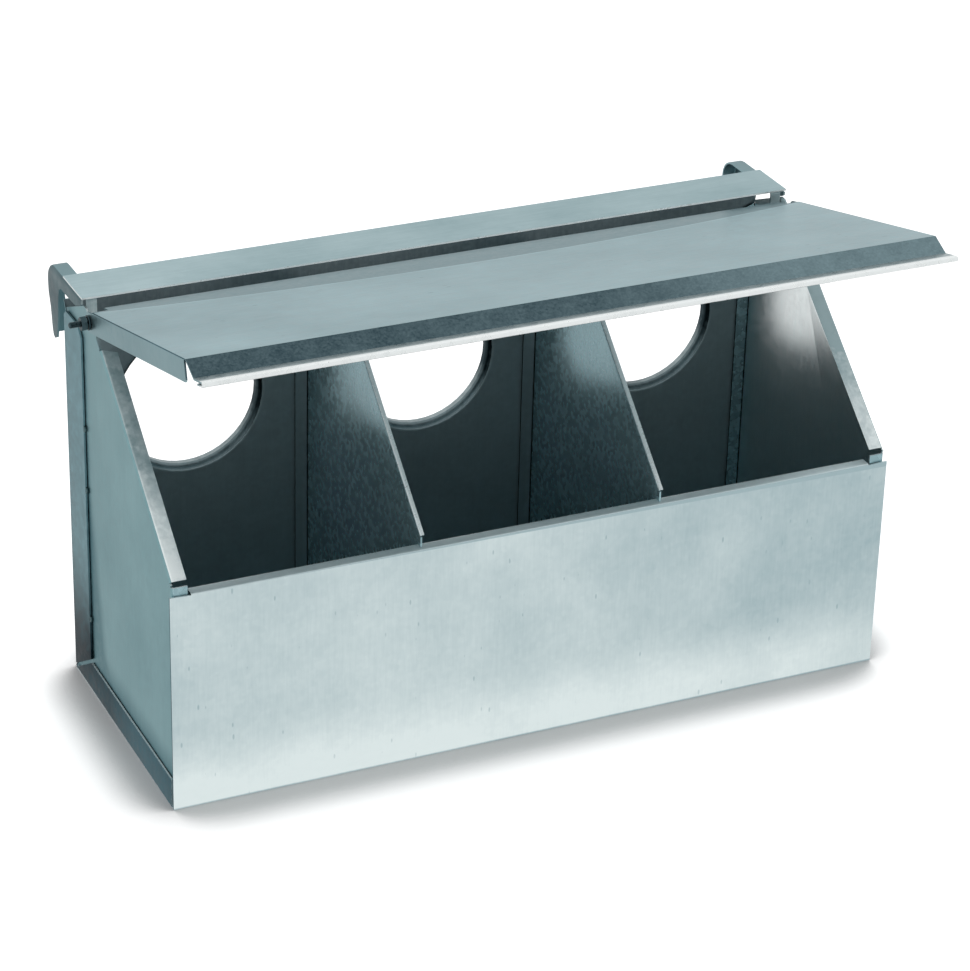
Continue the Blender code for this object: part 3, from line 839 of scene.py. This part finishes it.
def floor_finish():
    """A matt pale floor that looks white apart from the shadow."""
    material = bpy.data.materials.new("studio_floor")
    material.use_nodes = True
    tree = material.node_tree
    tree.nodes.clear()
    near = add_node(tree, "ShaderNodeAmbientOcclusion", {"Distance": SHADOW_REACH}, samples=16)
    clear = add_node(tree, "ShaderNodeMapRange",
                     {0: near.outputs["AO"], 1: SKY_AT_FOOT, 2: SKY_IN_CLEAR, 3: 0.0, 4: FLOOR_LIFT},
                     interpolation_type="SMOOTHSTEP")
    lift = add_node(tree, "ShaderNodeMath", {0: seen_by(tree, ["Is Camera Ray"]), 1: clear.outputs[0]},
                    operation="MULTIPLY")
    matt = add_node(tree, "ShaderNodeBsdfDiffuse", {"Color": linear(FLOOR_TONE)})
    glow = add_node(tree, "ShaderNodeEmission", {"Color": WHITE, "Strength": lift.outputs[0]})
    both = add_node(tree, "ShaderNodeAddShader", {0: matt.outputs[0], 1: glow.outputs[0]})
    mirrored = seen_by(tree, ["Is Glossy Ray", "Is Transmission Ray"])
    white = add_node(tree, "ShaderNodeEmission", {"Color": WHITE, "Strength": 1.0})
    mixed = add_node(tree, "ShaderNodeMixShader", {0: mirrored, 1: both.outputs[0], 2: white.outputs[0]})
    add_node(tree, "ShaderNodeOutputMaterial", {"Surface": mixed.outputs[0]})
    material.cycles.emission_sampling = "NONE"
    return material


bpy.ops.object.select_all(action="DESELECT")
bpy.ops.mesh.primitive_plane_add(size=FLOOR_SIZE, location=(0.0, 0.0, 0.0))
floor = bpy.context.active_object
floor.name = "studio_floor"
floor.data.materials.append(floor_finish())
print("floor:", FLOOR_SIZE, "m wide")

# %% [markdown]
# The world is a white tent: white where it is seen, and dimmer where it lights, so that the lamp has its
# share. The lamp is broad and stands behind on the right, which throws the shadow to the left and to the
# front. It is hidden from reflections, because the zinc would mirror it as a hot spot.

# %% World and lamp
TENT_LIGHT = 0.6
LAMP_STRENGTH = 0.8
LAMP_WIDTH = math.radians(40)
TOWARDS_LAMP = Vector((0.35, 0.45, 0.82))


def add_world():
    """A white tent, brighter where it is seen than where it lights."""
    world = bpy.data.worlds.new("studio_tent")
    bpy.context.scene.world = world
    world.use_nodes = True
    tree = world.node_tree
    tree.nodes.clear()
    seen = seen_by(tree, ["Is Camera Ray", "Is Glossy Ray", "Is Transmission Ray"])
    strength = add_node(tree, "ShaderNodeMapRange", {0: seen, 3: TENT_LIGHT, 4: 1.0})
    sky = add_node(tree, "ShaderNodeBackground", {"Color": WHITE, "Strength": strength.outputs[0]})
    add_node(tree, "ShaderNodeOutputWorld", {"Surface": sky.outputs[0]})
    world.cycles.sampling_method = "NONE"


def add_key_lamp():
    """A broad soft lamp that the zinc doesn't mirror."""
    data = bpy.data.lights.new("key_softbox", "SUN")
    data.energy = LAMP_STRENGTH
    data.angle = LAMP_WIDTH
    lamp = bpy.data.objects.new("key_softbox", data)
    lamp.visible_glossy = False
    bpy.context.scene.collection.objects.link(lamp)
    lamp.rotation_euler = TOWARDS_LAMP.to_track_quat("Z", "Y").to_euler()


add_world()
add_key_lamp()
bpy.context.scene.view_settings.view_transform = "Standard"
print("lamps:", len(bpy.data.lights))
